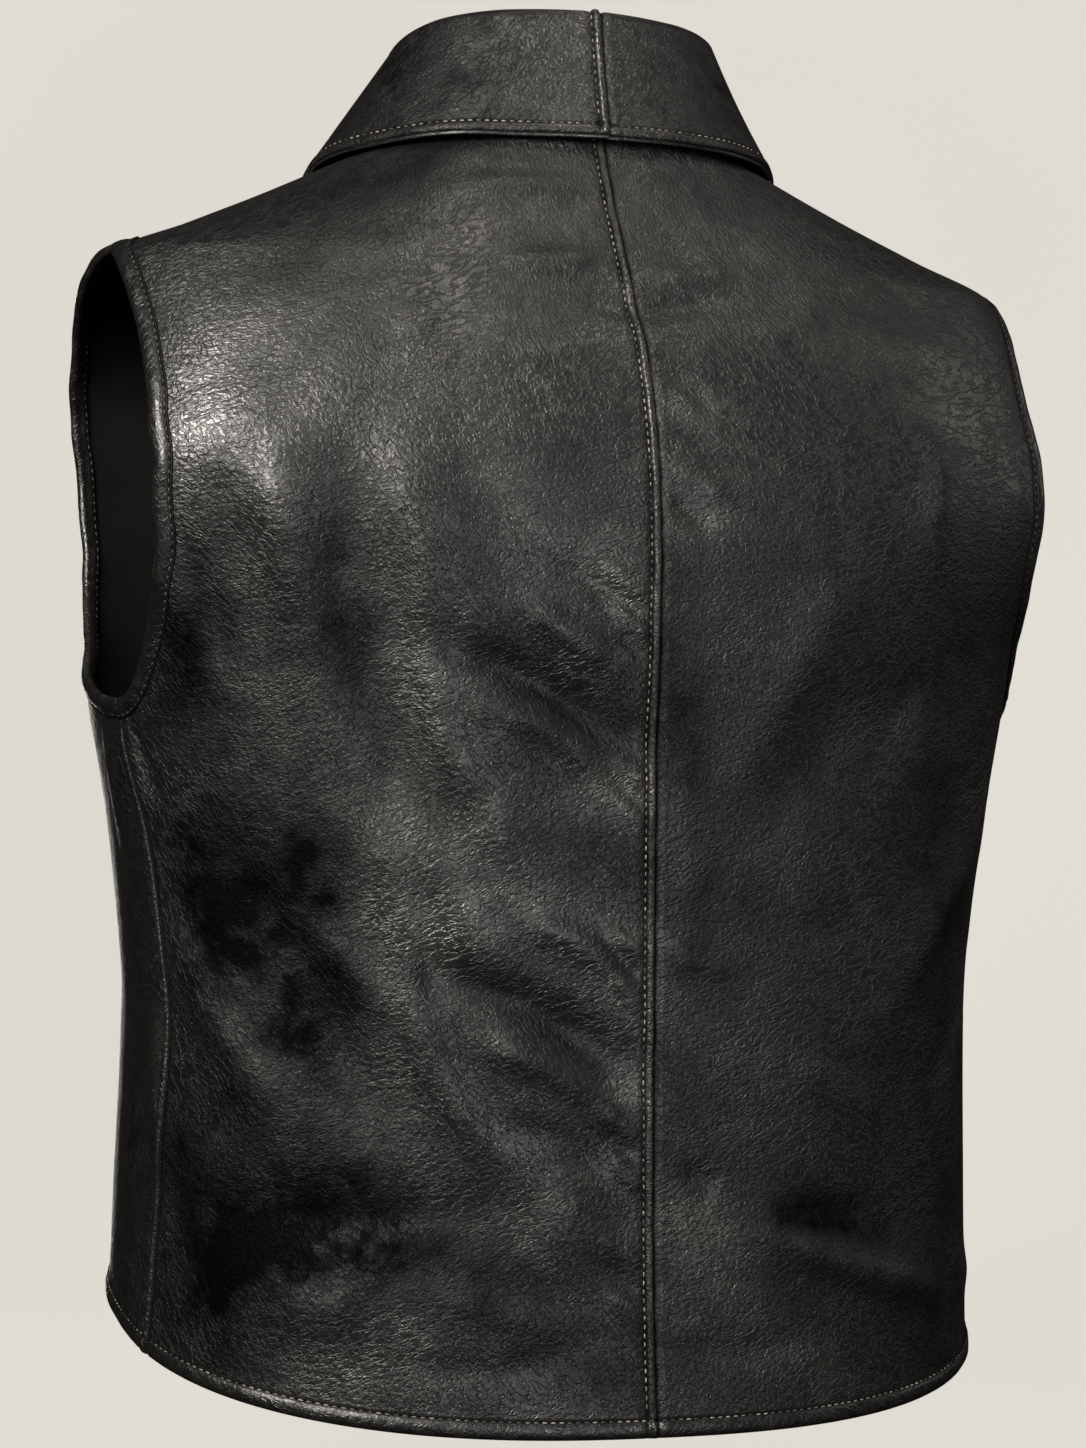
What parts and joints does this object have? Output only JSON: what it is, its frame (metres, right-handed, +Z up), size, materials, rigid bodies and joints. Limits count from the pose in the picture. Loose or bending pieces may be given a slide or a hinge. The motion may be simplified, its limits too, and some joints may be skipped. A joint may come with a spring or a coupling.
{
  "type": "leather vest",
  "caption": "Short sleeveless leather vest with a turned-down collar, bound armholes and a lapped front, open and hollow as when worn.",
  "frame": {"origin": "on the centre plane at the height of the neck seam, between the shoulders, where the wearer's shoulders hold the vest up", "axes": "+Z up; the wearer faces -Y, so the back of the vest is at +Y; +X is the wearer's left"},
  "size_m": [0.4364, 0.2688, 0.6196],
  "materials": {
    "leather": "satin",
    "bound_edge": "satin",
    "collar_leather": "satin",
    "stud_metal": "dark nickel"
  },
  "bodies": {
    "root": {"back_left": "leather", "hem_band_back_left": "bound_edge", "front_left": "leather", "hem_band_front_left": "bound_edge", "armhole_binding_left": "bound_edge", "back_right": "leather", "hem_band_back_right": "bound_edge", "front_right": "leather", "hem_band_front_right": "bound_edge", "armhole_binding_right": "bound_edge", "collar_upper_left": "collar_leather", "collar_under_left": "collar_leather", "collar_upper_right": "collar_leather", "collar_under_right": "collar_leather", "press_stud_1": "stud_metal", "press_stud_2": "stud_metal", "press_stud_3": "stud_metal", "press_stud_4": "stud_metal", "press_stud_5": "stud_metal"}
  },
  "joints": []
}
